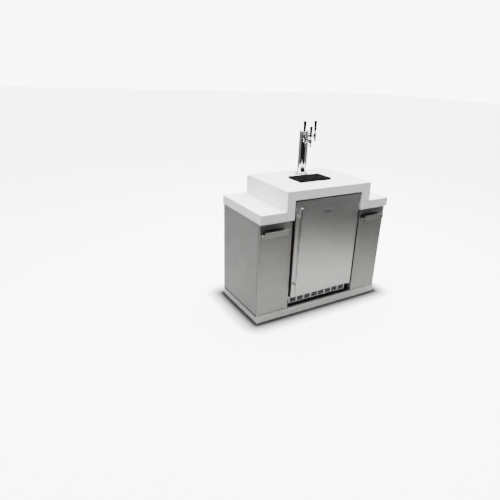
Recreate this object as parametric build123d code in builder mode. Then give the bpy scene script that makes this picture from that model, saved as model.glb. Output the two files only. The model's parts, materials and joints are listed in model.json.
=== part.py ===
"""A kegerator module for an outdoor kitchen: stepped worktop, built-in fridge, tap tower and two pull-outs.

The frame: +X to the right, +Y to the back, +Z up, origin on the floor under the middle. Millimetres.
"""

from build123d import *
from math import cos, radians, sin
import os

os.makedirs("parts", exist_ok=True)

# Worktop
end = 623.0            # half of the module's width
front = -295.0         # worktop's front edge
back = 320.0           # worktop's back edge
wing_top = 900.0       # height of the lower worktop
slab = 72.0            # depth of the worktop's edge band
skin = 12.0            # thickness of the solid surface
raised_top = 1051.0    # height of the raised worktop
raised_left = -403.0
raised_right = 408.0
bay_left = -332.5      # the fridge's bay, between the partitions
bay_right = 322.5
gap = 0.2              # between pieces that lie against each other
line_hole_r = 34.0     # the way down from the tower into the fridge
core_clear = 6.0

# Carcase
panel = 18.0
carcase_left = -619.0
carcase_right = 619.0
carcase_back = 302.0
floor_top = 66.0       # top of the base panel, level with the plinth
fronts = -275.0        # front face of the pull-outs
fronts_back = fronts + panel
under_wing = wing_top - slab
under_bridge = raised_top - slab

# Fridge
case_half = 308.0
case_front = -228.0
case_back = 285.0
case_bottom = 78.0
case_top = 964.0
sheet = 1.5
inner_half = 262.0
inner_floor = 172.0
inner_top = 922.0
inner_back = 238.0
bay_ceiling = 126.0    # underside of the insulated floor
hump_front = 104.0     # the step over the machine room
hump_top = 298.0
foam_wall = 44.0

# Door
door_half = 314.0
door_bottom = 160.0
door_top = 963.0
door_front = -286.0
door_back = -240.0
liner_back = -236.0
hinge_x = 301.0
hinge_y = -273.0
pin_r = 4.0
pin_play = 0.06
bar_x = -300.0
bar_y = -335.0
bar_r = 12.5
bar_low = 220.0
bar_high = 931.0
stem_levels = (293.0, 856.0)
badge_x = (-43.0, 31.0)
badge_z = (845.0, 875.0)

# Tap tower
tower_x = 45.0
tower_y = 175.0
column_r = 38.1        # a 3 inch column
column_wall = 1.5
column_top = 1398.0
tap_angles = {"left": -35.0, "centre": 0.0, "right": 35.0}
tap_heights = {"left": 1372.0, "centre": 1330.0, "right": 1372.0}
tap_reach = 92.0       # from the column's axis to the lever's pivot
pivot_rise = 9.0
handle_rise = 39.0
handle_long = 80.0
handle_foot_r = 6.5
handle_neck_r = 8.8
handle_neck = 12.0
handle_top_r = 12.5
flange_r = 55.0
shank_hole_r = 11.2
ferrule_rise = 28.5
ferrule_r = 8.0
lever_ball_r = 7.0
lever_stem_r = 3.5
spout_r = 7.5
spout_bore_r = 5.0
spout_bend = 26.0

# Drip tray
tray_x = (-157.0, 149.0)
tray_y = (-100.0, 78.0)
tray_high = 15.0


def block(x, y, z, mode=Mode.ADD):
    """Add, or cut, a box that spans three (low, high) pairs."""
    middle = ((x[0] + x[1]) / 2, (y[0] + y[1]) / 2, (z[0] + z[1]) / 2)
    with Locations(middle):
        Box(x[1] - x[0], y[1] - y[0], z[1] - z[0], mode=mode)


def post(x, y, z, radius, mode=Mode.ADD):
    """Add, or cut, an upright cylinder over a (low, high) height."""
    with Locations((x, y, (z[0] + z[1]) / 2)):
        Cylinder(radius, z[1] - z[0], mode=mode)


def rod(plane, start, stop, radius, mode=Mode.ADD):
    """Add, or cut, a cylinder along a plane's normal, from start to stop."""
    with Locations(plane.offset((start + stop) / 2)):
        Cylinder(radius, stop - start, mode=mode)


def save(piece, name):
    """Label a finished piece and write it as a STEP file of its own."""
    piece.part.label = name
    export_step(piece.part, f"parts/{name}.step")


# ---------------------------------------------------------------- worktop

def hollow_slab(x, z, edges):
    """A worktop piece: solid surface folded down round its sides, open below."""
    with BuildPart() as piece:
        block(x, (front, back), z)
        block((x[0] + skin, x[1] - skin), (front + skin, back - skin), (z[0], z[1] - skin), Mode.SUBTRACT)
        if edges:
            fillet(piece.faces().sort_by(Axis.Z)[-1].outer_wire().edges(), edges)
    return piece


wing_z = (under_wing, wing_top)
riser_z = (under_wing, under_bridge)
bridge_z = (under_bridge, raised_top)
wing_left_x = (-end, raised_left)
wing_right_x = (raised_right, end)
riser_left_x = (raised_left, bay_left)
riser_right_x = (bay_right, raised_right)
bridge_x = (raised_left, raised_right)

eased = 3.0            # rounding of the worktop's top edges

worktop_left = hollow_slab(wing_left_x, wing_z, eased)
worktop_right = hollow_slab(wing_right_x, wing_z, eased)
riser_left = hollow_slab(riser_left_x, riser_z, 0)
riser_right = hollow_slab(riser_right_x, riser_z, 0)

with BuildPart() as worktop_bridge:
    add(hollow_slab(bridge_x, bridge_z, eased).part)
    post(tower_x, tower_y, bridge_z, line_hole_r, Mode.SUBTRACT)

with BuildPart() as worktop_cores:
    for x, z in (
        (wing_left_x, wing_z),
        (wing_right_x, wing_z),
        (riser_left_x, riser_z),
        (riser_right_x, riser_z),
        (bridge_x, bridge_z),
    ):
        inset = skin + gap
        core_z = (z[0] + gap, z[1] - inset)
        block((x[0] + inset, x[1] - inset), (front + inset, back - inset), core_z)
    post(tower_x, tower_y, bridge_z, line_hole_r + core_clear, Mode.SUBTRACT)

save(worktop_left, "worktop_left")
save(worktop_right, "worktop_right")
save(worktop_bridge, "worktop_bridge")
save(riser_left, "riser_left")
save(riser_right, "riser_right")
save(worktop_cores, "worktop_cores")


# ---------------------------------------------------------------- carcase

wall_y = (fronts_back + gap, carcase_back)
wall_z = (floor_top, under_wing)
joining_bolt_r = 4.5
joining_y = 20.0
joining_z = 440.0
joining_pitch_y = 400.0
joining_pitch_z = 600.0
partition = 17.5

with BuildPart() as side_panel_left:
    block((carcase_left, carcase_left + panel), wall_y, wall_z)
    with Locations(Plane.YZ.offset(carcase_left)):
        with Locations((joining_y, joining_z)):
            with GridLocations(joining_pitch_y, joining_pitch_z, 2, 2):
                Cylinder(joining_bolt_r, 4 * panel, mode=Mode.SUBTRACT)
save(side_panel_left, "side_panel_left")

with BuildPart() as side_panel_right:
    block((carcase_right - panel, carcase_right), wall_y, wall_z)
save(side_panel_right, "side_panel_right")

with BuildPart() as partition_left:
    block((bay_left - partition, bay_left), wall_y, wall_z)
save(partition_left, "partition_left")

with BuildPart() as partition_right:
    block((bay_right, bay_right + partition), wall_y, wall_z)
save(partition_right, "partition_right")

plinth_front = fronts - 2
plinth_low = 3.0
base_front = plinth_front + panel
base_low = 50.0

with BuildPart() as base_panel:
    block((carcase_left, carcase_right), (base_front, carcase_back), (base_low, floor_top))
save(base_panel, "base_panel")

with BuildPart() as plinth:
    block((carcase_left, carcase_right), (plinth_front, base_front - gap), (plinth_low, floor_top))
    rail_z = (plinth_low, base_low - gap)
    block((carcase_left, carcase_right), (carcase_back - panel, carcase_back), rail_z)
    side_y = (base_front, carcase_back - panel - gap)
    block((carcase_left, carcase_left + panel), side_y, rail_z)
    block((carcase_right - panel, carcase_right), side_y, rail_z)
save(plinth, "plinth")

foot_x = 560.0
foot_front = -215.0
foot_back = 245.0
foot_places = [(0, 0)] + [(x, y) for y in (foot_front, foot_back) for x in (-foot_x, 0, foot_x)]
foot_pad = 8.0
foot_nut = 22.0

with BuildPart() as levelling_feet:
    for x, y in foot_places:
        post(x, y, (0, foot_pad), 25)
        post(x, y, (foot_pad, foot_nut), 9)
        post(x, y, (foot_nut, base_low - gap), 5)
    chamfer(levelling_feet.edges().filter_by(GeomType.CIRCLE).group_by(Axis.Z)[0], 1)
save(levelling_feet, "levelling_feet")

rear_y = (carcase_back + gap, carcase_back + 12)
rear_low = 50.0
rear_overlap = 9.0     # the middle back panel laps half of each partition

with BuildPart() as back_panels:
    block((carcase_left, bay_left - rear_overlap), rear_y, (rear_low, under_wing - gap))
    block((bay_right + rear_overlap, carcase_right), rear_y, (rear_low, under_wing - gap))
save(back_panels, "back_panels")

gas_x = 220.0
gas_z = 420.0
gas_r = 20.0
vent_x = -5.0
vent_z = 175.0
vent_pitch_x = 250.0
vent_pitch_z = 22.0
vent_slot = (200.0, 9.0)

with BuildPart() as back_panel_vent:
    wide_x = (bay_left - rear_overlap + gap, bay_right + rear_overlap - gap)
    block(wide_x, rear_y, (rear_low, under_wing - gap))
    block((bay_left + gap, bay_right - gap), rear_y, (under_wing - gap, under_bridge - gap))
    with Locations(Plane.XZ.offset(-carcase_back)):
        with Locations((vent_x, vent_z)):
            with GridLocations(vent_pitch_x, vent_pitch_z, 2, 8):
                Box(vent_slot[0], vent_slot[1], 60, mode=Mode.SUBTRACT)
        with Locations((gas_x, gas_z)):
            Cylinder(gas_r, 60, mode=Mode.SUBTRACT)
save(back_panel_vent, "back_panel_vent")


# ---------------------------------------------------------------- pull-outs

front_z = (floor_top + 3, under_wing - 2)
handle_z = (737.0, 780.0)
handle_reach = 60.0
handle_long_x = 203.0
runner_levels = (150.0, 470.0)
runner_y = (-252.0, 200.0)
runner_high = 45.0
runner_side = 13.0     # room each side of a tray for its runners
runner_lip = 9.0
cabinets = {
    "left": (carcase_left + panel, bay_left - partition),
    "right": (bay_right + partition, carcase_right - panel),
}
front_widths = {"left": (-617.0, -334.0), "right": (342.0, 617.0)}


def pullout_front(x):
    """A sheet-metal pan with a cover plate closing its back."""
    with BuildPart() as piece:
        block(x, (fronts, fronts_back), front_z)
        fillet(piece.faces().sort_by(Axis.Y)[0].edges(), 1.2)
        hollow_x = (x[0] + sheet, x[1] - sheet)
        hollow_z = (front_z[0] + sheet, front_z[1] - sheet)
        block(hollow_x, (fronts + sheet, fronts_back), hollow_z, Mode.SUBTRACT)
        cover_x = (hollow_x[0] + gap, hollow_x[1] - gap)
        cover_z = (hollow_z[0] + gap, hollow_z[1] - gap)
        block(cover_x, (fronts_back - sheet, fronts_back), cover_z)
    return piece


def trough_handle(x_start):
    """A folded trough: open above and at its ends, with a hemmed lip."""
    thick = 2.0
    fold_r = 12.0
    low, high = handle_z
    near = fronts - handle_reach
    with BuildPart() as piece:
        with BuildSketch(Plane.YZ.offset(x_start)) as profile:
            with Locations(((near + fronts) / 2, (low + high) / 2)):
                Rectangle(handle_reach, high - low)
            fillet(profile.vertices().group_by(Axis.X)[-1].sort_by(Axis.Y)[0], fold_r)
            with BuildSketch(Plane.YZ.offset(x_start), mode=Mode.SUBTRACT) as inside:
                with Locations(((near + fronts) / 2, (low + high) / 2 + thick)):
                    Rectangle(handle_reach - 2 * thick, high - low)
                fillet(inside.vertices().group_by(Axis.X)[-1].sort_by(Axis.Y)[0], fold_r - thick)
            with Locations((near + thick, high - 4)):
                Rectangle(2 * thick, 8)
        extrude(amount=handle_long_x)
    return piece


def pullout_tray(cabinet):
    """Two sheet-metal trays, one above the other, on a carrier plate, with the moving runner members."""
    low_x = cabinet[0] + runner_side
    high_x = cabinet[1] - runner_side
    thin = 2.0
    tray_back = 190.0
    carrier = (fronts_back + gap, fronts_back + gap + thin)
    side_y = (carrier[1] + gap, tray_back - thin - gap)
    sides = ((low_x, low_x + thin), (high_x - thin, high_x))
    levels = ((110.0, 250.0), (430.0, 560.0))
    member_y = (runner_y[0] + 2, runner_y[1] - 20)
    with BuildPart() as piece:
        block((low_x, high_x), carrier, (levels[0][0] - 10, levels[1][1] + 40))
        for bottom, rim in levels:
            block((low_x, high_x), (carrier[1] + gap, tray_back), (bottom, bottom + thin))
            block((low_x, high_x), (tray_back - thin, tray_back), (bottom + thin + gap, rim))
            for side in sides:
                block(side, side_y, (bottom + thin + gap, rim))
        for side in sides:
            block(side, (160, 185), (levels[0][1] + gap, levels[1][0] - gap))
        for level in runner_levels:
            member_z = (level + 8, level + 37)
            block((low_x - 7.5, low_x - gap), member_y, member_z)
            block((high_x + gap, high_x + 7.5), member_y, member_z)
    return piece


for side, cabinet in cabinets.items():
    x = front_widths[side]
    save(pullout_front(x), f"pullout_{side}_front")
    save(trough_handle(x[0] + 12), f"pullout_{side}_handle")
    save(pullout_tray(cabinet), f"pullout_{side}_tray")

with BuildPart() as runners_outer:
    for cabinet in cabinets.values():
        for level in runner_levels:
            for wall, inward in ((cabinet[0], 1), (cabinet[1], -1)):
                web = sorted((wall + inward * gap, wall + inward * 2))
                lip = sorted((wall + inward * gap, wall + inward * runner_lip))
                block(web, runner_y, (level, level + runner_high))
                block(lip, runner_y, (level, level + 3))
                block(lip, runner_y, (level + runner_high - 3, level + runner_high))
save(runners_outer, "runners_outer")


# ---------------------------------------------------------------- fridge body

case_inner = case_half - sheet

with BuildPart() as fridge_case:
    side_z = (case_bottom, case_top)
    block((-case_half, -case_inner), (case_front, case_back), side_z)
    block((case_inner, case_half), (case_front, case_back), side_z)
    across = (-case_inner + gap, case_inner - gap)
    block(across, (case_front, case_back), (case_top - sheet, case_top))
    block(across, (case_back - sheet, case_back), (hump_top, case_top - sheet - gap))
    block(across, (case_front, case_back), (case_bottom, case_bottom + 2))
    block(across, (case_front, case_front + sheet), (bay_ceiling, 152 - gap))
    post(tower_x, tower_y, (case_top - 5, case_top + 1), line_hole_r, Mode.SUBTRACT)
    for x in (-270, 270):
        for y in (-195, 250):
            post(x, y, (floor_top, case_bottom - gap), 15)
save(fridge_case, "fridge_case")

foam_x = (-case_inner + gap, case_inner - gap)
foam_back = case_back - sheet - gap
foam_front = case_front + sheet + gap
liner_out = inner_half + sheet + gap

with BuildPart() as fridge_insulation:
    top_z = (inner_top + sheet + gap, case_top - sheet - gap)
    wall_foam_z = (bay_ceiling, top_z[0] - gap)
    block((foam_x[0], -liner_out), (foam_front, foam_back), wall_foam_z)
    block((liner_out, foam_x[1]), (foam_front, foam_back), wall_foam_z)
    block(foam_x, (foam_front, foam_back), top_z)
    across = (-liner_out + gap, liner_out - gap)
    floor_z = (bay_ceiling, inner_floor - sheet - gap)
    block(across, (foam_front, hump_front), floor_z)
    hump_x = (-inner_half + gap, inner_half - gap)
    block(hump_x, (hump_front + gap, hump_front + foam_wall), (bay_ceiling, hump_top - sheet - gap))
    hump_z = (hump_top - sheet - gap - foam_wall, hump_top - sheet - gap)
    block(hump_x, (hump_front + foam_wall + gap, foam_back), hump_z)
    block(across, (inner_back + sheet + gap, foam_back), (hump_top, top_z[0] - gap))
    post(tower_x, tower_y, (top_z[0] - 1, top_z[1] + 1), line_hole_r, Mode.SUBTRACT)
save(fridge_insulation, "fridge_insulation")

with BuildPart() as fridge_liner:
    liner_y = (foam_front, inner_back)
    for side in (-1, 1):
        x = sorted((side * inner_half, side * (inner_half + sheet)))
        block(x, liner_y, (inner_floor, inner_top))
        rim = sorted((side * (inner_half + 2), side * (case_inner - gap)))
        block(rim, (case_front, case_front + sheet), (152, case_top - sheet - gap))
    across = (-inner_half + gap, inner_half - gap)
    block(across, (foam_front, hump_front - sheet - gap), (inner_floor - sheet, inner_floor))
    block(across, (hump_front - sheet, hump_front), (inner_floor, hump_top - sheet))
    block(across, (hump_front - sheet, inner_back - gap), (hump_top - sheet + gap, hump_top))
    block(across, (inner_back, inner_back + sheet), (hump_top, inner_top))
    block(across, liner_y, (inner_top, inner_top + sheet))
    rim_x = (-inner_half - 2 + gap, inner_half + 2 - gap)
    block(rim_x, (case_front, case_front + sheet), (152, inner_floor))
    block(rim_x, (case_front, case_front + sheet), (inner_top, case_top - sheet - gap))
    post(tower_x, tower_y, (inner_top - 5, inner_top + 5), line_hole_r, Mode.SUBTRACT)
save(fridge_liner, "fridge_liner")


def fan(plane, tip_r, hub_r, depth, blades):
    """A hub with pitched blades, spinning about the plane's normal."""
    with BuildPart() as piece:
        rod(plane, 0, depth, hub_r)
        pitch = Rotation(0, 32, 0)
        for turn in range(blades):
            spin = Rotation(0, 0, turn * 360 / blades)
            reach = (tip_r + hub_r) / 2 - 2
            place = plane.location * spin * Pos(0, reach, depth / 2) * pitch
            with Locations(place):
                Box(0.62 * tip_r, tip_r - hub_r + 4, 1.6)
        rod(plane, -0.01, depth + 0.01, tip_r + 40, Mode.INTERSECT)
    return piece


evap_x = (-200.0, 95.0)
evap_z = (560.0, 900.0)
evap_front = 194.0
evap_fan_x = -52.0
evap_fan_z = 800.0
evap_fan_r = 52.0

with BuildPart() as evaporator_cover:
    block(evap_x, (evap_front, inner_back - gap), evap_z)
    fillet(evaporator_cover.faces().sort_by(Axis.Y)[0].edges(), 5)
    inner_x = (evap_x[0] + 2, evap_x[1] - 2)
    inner_z = (evap_z[0] + 2, evap_z[1] - 2)
    block(inner_x, (evap_front + 2, inner_back), inner_z, Mode.SUBTRACT)
    front_face = Plane(origin=(evap_fan_x, evap_front, evap_fan_z), x_dir=(1, 0, 0), z_dir=(0, 1, 0))
    rod(front_face, -5, 5, evap_fan_r + 3, Mode.SUBTRACT)
    with Locations(Plane(origin=(evap_fan_x, evap_front, 620), x_dir=(1, 0, 0), z_dir=(0, 1, 0))):
        with GridLocations(30, 1, 8, 1):
            Box(14, 60, 10, mode=Mode.SUBTRACT)
    block((evap_x[0] + 20, evap_x[1] - 20), (inner_back - 14, inner_back - 1), (580, 880))
    rod(front_face, 16.3, 32, 14)
save(evaporator_cover, "evaporator_cover")

evaporator_fan = fan(front_face.offset(3), evap_fan_r, 15, 13, 5)
save(evaporator_fan, "evaporator_fan")

panel_y = -224.0
panel_z = (896.0, inner_top - gap)
button_z = 908.0
button_r = 5.0
button_x = {"button_power": -60.0, "button_down": 40.0, "button_up": 62.0}

with BuildPart() as control_panel:
    block((-90, 90), (panel_y, -170), panel_z)
    fillet(control_panel.faces().sort_by(Axis.Z)[0].edges(), 3)
    for x in button_x.values():
        pocket = Plane(origin=(x, panel_y, button_z), x_dir=(1, 0, 0), z_dir=(0, 1, 0))
        rod(pocket, -1, 6, button_r + 0.2, Mode.SUBTRACT)
save(control_panel, "control_panel")

for name, x in button_x.items():
    with BuildPart() as button:
        rod(Plane(origin=(x, panel_y, button_z), x_dir=(1, 0, 0), z_dir=(0, 1, 0)), -2.2, 4, button_r)
        fillet(button.faces().sort_by(Axis.Y)[0].edges(), 1)
    save(button, name)


# ---------------------------------------------------------------- machine room

can_x = 110.0
can_y = 216.0
can_z = (96.0, 236.0)
can_r = 58.0
can_plate = (85.0, 90.0)
grommet_x = 55.0
grommet_y = 46.0

with BuildPart() as compressor:
    post(can_x, can_y, can_z, can_r)
    fillet(compressor.edges().filter_by(GeomType.CIRCLE), 22)
    post(can_x, can_y, (can_plate[1], can_z[0] + 2), 40)
    plate_x = (can_x - grommet_x - 10, can_x + grommet_x + 10)
    block(plate_x, (can_y - grommet_y - 10, can_y + grommet_y + 10), can_plate)
    for x in (can_x - grommet_x, can_x + grommet_x):
        for y in (can_y - grommet_y, can_y + grommet_y):
            post(x, y, (case_bottom + 2 + gap, can_plate[0]), 7)
    block((can_x + 52, can_x + 86), (can_y - 20, can_y + 20), (130, 190))
save(compressor, "compressor")

condenser_fan_y = 214.0
condenser_fan_z = 166.0

coil_x = (-246.0, -216.0)
coil_y = (154.0, 276.0)
coil_z = (90.0, 242.0)
fan_motor_x = -158.0

with BuildPart() as condenser:
    block(coil_x, coil_y, coil_z)
    coil_frame_y = (coil_y[0] - 2, coil_y[1] + 2)
    block((coil_x[0] - 4, coil_x[0] - gap), coil_frame_y, (case_bottom + 2 + gap, coil_z[1] + 2))
    fan_motor = Plane(origin=(fan_motor_x, condenser_fan_y, condenser_fan_z), x_dir=(0, 1, 0), z_dir=(1, 0, 0))
    rod(fan_motor, 0, 30, 17)
    stand_x = (fan_motor_x + 4, fan_motor_x + 24)
    block(stand_x, (condenser_fan_y - 12, condenser_fan_y + 12), (case_bottom + 2 + gap, 155))
save(condenser, "condenser")

condenser_fan = fan(fan_motor.offset(-24), 54, 16, 20, 6)
save(condenser_fan, "condenser_fan")

grille_x = (-293.0, 304.0)
grille_z = (case_bottom, 150.0)
grille_y = (case_front - 4, case_front - 1)
window_pitch = 73.5
window_wide = 60.0
window_rebate = 1.6    # how far the fins stand back from the frame
fin_pitch = 9.0
fin_gap = 6.5
windows = 8
slots = 6
tab = 13.0
tab_z = 130.0

with BuildPart() as toe_grille:
    block(grille_x, grille_y, grille_z)
    middle_x = (grille_x[0] + grille_x[1]) / 2
    middle_z = (grille_z[0] + grille_z[1]) / 2
    middle = Plane(origin=(middle_x, grille_y[0], middle_z), x_dir=(1, 0, 0), z_dir=(0, 1, 0))
    with Locations(middle):
        with GridLocations(window_pitch, fin_pitch, windows, 1):
            Box(window_wide, slots * fin_pitch, 2 * window_rebate, mode=Mode.SUBTRACT)
        with GridLocations(window_pitch, fin_pitch, windows, slots):
            Box(window_wide, fin_gap, 20, mode=Mode.SUBTRACT)
    block((grille_x[0] - tab, grille_x[0]), (grille_y[0], grille_y[0] + 1.5), (tab_z - 12, tab_z + 12))
    screw = Plane(origin=(grille_x[0] - 7, grille_y[0], tab_z), x_dir=(1, 0, 0), z_dir=(0, 1, 0))
    rod(screw, -2, 0.5, 4)
save(toe_grille, "toe_grille")


# ---------------------------------------------------------------- door

bush_r = 7.0
plate_back = -180.0

with BuildPart() as hinge_brackets:
    plate_top = (case_top + 0.3, case_top + 4.3)
    arm_x = (hinge_x - 16, hinge_x + 11)
    wall_plate = (320, bay_right - gap)
    block(arm_x, (-285, plate_back), plate_top)
    block((arm_x[1], bay_right - gap), (-239, plate_back), plate_top)
    block(wall_plate, (-284, -239), (893, plate_top[1]))
    block(wall_plate, (-239, plate_back), (893, plate_top[0]))
    post(hinge_x, hinge_y, (946, plate_top[0]), pin_r)
    block(arm_x, (-285, case_front - 0.3), (154, 158))
    block((case_half + 0.3, arm_x[1]), (case_front - 0.3, plate_back), (110, 158))
    post(hinge_x, hinge_y, (158, 176), pin_r)
save(hinge_brackets, "hinge_brackets")

with BuildPart() as door_skin:
    block((-door_half, door_half), (door_front, door_back), (door_bottom, door_top))
    fillet(door_skin.faces().sort_by(Axis.Y)[0].edges(), 3)
    hollow_x = (-door_half + sheet, door_half - sheet)
    hollow_z = (door_bottom + sheet, door_top - sheet)
    block(hollow_x, (door_front + sheet, door_back), hollow_z, Mode.SUBTRACT)
    post(hinge_x, hinge_y, (945, hollow_z[1]), bush_r)
    post(hinge_x, hinge_y, (hollow_z[0], 178), bush_r)
    post(hinge_x, hinge_y, (945.5, door_top + 1), pin_r + pin_play, Mode.SUBTRACT)
    post(hinge_x, hinge_y, (door_bottom - 1, 177.5), pin_r + pin_play, Mode.SUBTRACT)
save(door_skin, "door_skin")

with BuildPart() as door_foam:
    foam_y = (door_front + sheet + gap, door_back - gap)
    foam_z = (hollow_z[0] + gap, hollow_z[1] - gap)
    block((hollow_x[0] + gap, hollow_x[1] - gap), foam_y, foam_z)
    post(hinge_x, hinge_y, (944.5, door_top), bush_r + gap, Mode.SUBTRACT)
    post(hinge_x, hinge_y, (door_bottom, 178.5), bush_r + gap, Mode.SUBTRACT)
save(door_foam, "door_foam")

with BuildPart() as door_liner:
    block((-308, 306), (door_back, liner_back), (166, 957))
    fillet(door_liner.edges().filter_by(Axis.Y), 8)
save(door_liner, "door_liner")

seal_x = (-300.0, 300.0)
seal_z = (170.0, 953.0)
seal_wide = 14.0
seal_y = (liner_back, case_front - 0.4)

with BuildPart() as door_gasket:
    block(seal_x, seal_y, (seal_z[0], seal_z[0] + seal_wide))
    block(seal_x, seal_y, (seal_z[1] - seal_wide, seal_z[1]))
    upright_z = (seal_z[0] + seal_wide + gap, seal_z[1] - seal_wide - gap)
    block((seal_x[0], seal_x[0] + seal_wide), seal_y, upright_z)
    block((seal_x[1] - seal_wide, seal_x[1]), seal_y, upright_z)
save(door_gasket, "door_gasket")

with BuildPart() as door_handle:
    post(bar_x, bar_y, (bar_low, bar_high), bar_r)
    fillet(door_handle.edges().filter_by(GeomType.CIRCLE), 2)
    for z in stem_levels:
        stem = Plane(origin=(bar_x, bar_y, z), x_dir=(1, 0, 0), z_dir=(0, 1, 0))
        stem_long = door_front - bar_y
        rod(stem, 0, stem_long, 8)
        rod(stem, stem_long - 3, stem_long, 12)
save(door_handle, "door_handle")

with BuildPart() as badge:
    block(badge_x, (door_front - 1.5, door_front), badge_z)
    fillet(badge.edges().filter_by(Axis.Y), 4)
save(badge, "badge")


# ---------------------------------------------------------------- gas

bottle_x = 172.0
bottle_y = 160.0
bottle_r = 66.5
shoulder_z = 640.0
neck_z = 652.0
bottle_round = 50.0    # radius of the shoulder
bottle_foot = 8.0

with BuildPart() as co2_cylinder:
    post(bottle_x, bottle_y, (hump_top + 0.3, shoulder_z), bottle_r)
    bottle_rims = co2_cylinder.edges().filter_by(GeomType.CIRCLE).sort_by(Axis.Z)
    fillet(bottle_rims[-1], bottle_round)
    fillet(co2_cylinder.edges().filter_by(GeomType.CIRCLE).sort_by(Axis.Z)[0], bottle_foot)
    post(bottle_x, bottle_y, (shoulder_z - 2, neck_z), 17)
save(co2_cylinder, "co2_cylinder")

outlet_z = 676.0
outlet_long = 30.0
valve_top = 694.0
stem_r = 5.0
wheel_r = 24.0
wheel_z = (697.0, 711.0)
valve_outlet = Plane(origin=(bottle_x, bottle_y, outlet_z), x_dir=(1, 0, 0), z_dir=(0, -1, 0))

with BuildPart() as co2_valve:
    post(bottle_x, bottle_y, (neck_z + gap, valve_top), 13)
    post(bottle_x, bottle_y, (valve_top, valve_top + 12), stem_r)
    rod(valve_outlet, 0, outlet_long, 9.5)
save(co2_valve, "co2_valve")

with BuildPart() as co2_handwheel:
    post(bottle_x, bottle_y, wheel_z, wheel_r)
    fillet(co2_handwheel.edges().filter_by(GeomType.CIRCLE), 4)
    with Locations((bottle_x, bottle_y, (wheel_z[0] + wheel_z[1]) / 2)):
        with PolarLocations(wheel_r + 2.5, 6):
            Cylinder(6, 20, mode=Mode.SUBTRACT)
    post(bottle_x, bottle_y, (wheel_z[0] - 7, valve_top + 12.1), stem_r + 0.05, Mode.SUBTRACT)
save(co2_handwheel, "co2_handwheel")

regulator_reach = 52.0
gauge_out = 36.0
gauge_up = 18.0
gauge_r = 20.0
body_r = 24.0
knob_r = 15.0

with BuildPart() as regulator:
    rod(valve_outlet, outlet_long + gap, regulator_reach - 12, 14)
    rod(valve_outlet, regulator_reach - 12, regulator_reach + 12, body_r)
    fillet(regulator.edges().filter_by(GeomType.CIRCLE).group_by(Axis.Y)[0], 3)
    for side in (-1, 1):
        stub_x = bottle_x + side * gauge_out * 0.6
        stub = Pos(stub_x, bottle_y - regulator_reach, outlet_z + gauge_up * 0.6)
        with Locations(stub * Rotation(0, side * 63, 0)):
            Cylinder(5, 30)
        gauge = Pos(bottle_x + side * gauge_out, bottle_y - regulator_reach, outlet_z + gauge_up)
        with Locations(gauge * Rotation(90, 0, 0)):
            Cylinder(gauge_r, 18)
    with Locations((bottle_x, bottle_y - regulator_reach, outlet_z - 28)):
        Cylinder(5, 20)
save(regulator, "regulator")

with BuildPart() as regulator_knob:
    rod(valve_outlet, regulator_reach + 12.3, regulator_reach + 32, knob_r)
    fillet(regulator_knob.edges().filter_by(GeomType.CIRCLE).group_by(Axis.Y)[0], 2)
    with Locations(valve_outlet.offset(76)):
        with PolarLocations(knob_r + 1, 12):
            Cylinder(1.8, 20, mode=Mode.SUBTRACT)
save(regulator_knob, "regulator_knob")


# ---------------------------------------------------------------- tap tower

flange_top = raised_top + 7


def tap_plane(angle, height):
    """The plane across a tap's shank: its normal points out of the column."""
    turn = radians(angle)
    outward = (sin(turn), -cos(turn), 0)
    across = (cos(turn), sin(turn), 0)
    return Plane(origin=(tower_x, tower_y, height), x_dir=across, z_dir=outward)


with BuildPart() as tower_column:
    post(tower_x, tower_y, (raised_top, flange_top), flange_r)
    fillet(tower_column.edges().filter_by(GeomType.CIRCLE).group_by(Axis.Z)[-1], 3)
    post(tower_x, tower_y, (flange_top, flange_top + 10), column_r + 3)
    chamfer(tower_column.edges().filter_by(GeomType.CIRCLE).group_by(Axis.Z)[-1], 2)
    post(tower_x, tower_y, (raised_top, column_top), column_r)
    post(tower_x, tower_y, (raised_top - 1, column_top + 1), column_r - column_wall, Mode.SUBTRACT)
    for side, angle in tap_angles.items():
        rod(tap_plane(angle, tap_heights[side]), 20, 60, shank_hole_r, Mode.SUBTRACT)
save(tower_column, "tower_column")

with BuildPart() as tower_cap:
    post(tower_x, tower_y, (column_top + gap, column_top + 7), column_r + 1)
    fillet(tower_cap.edges().filter_by(GeomType.CIRCLE).group_by(Axis.Z)[-1], 4)
    post(tower_x, tower_y, (column_top - 10, column_top + 1), column_r - column_wall - gap)
save(tower_cap, "tower_cap")


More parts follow.
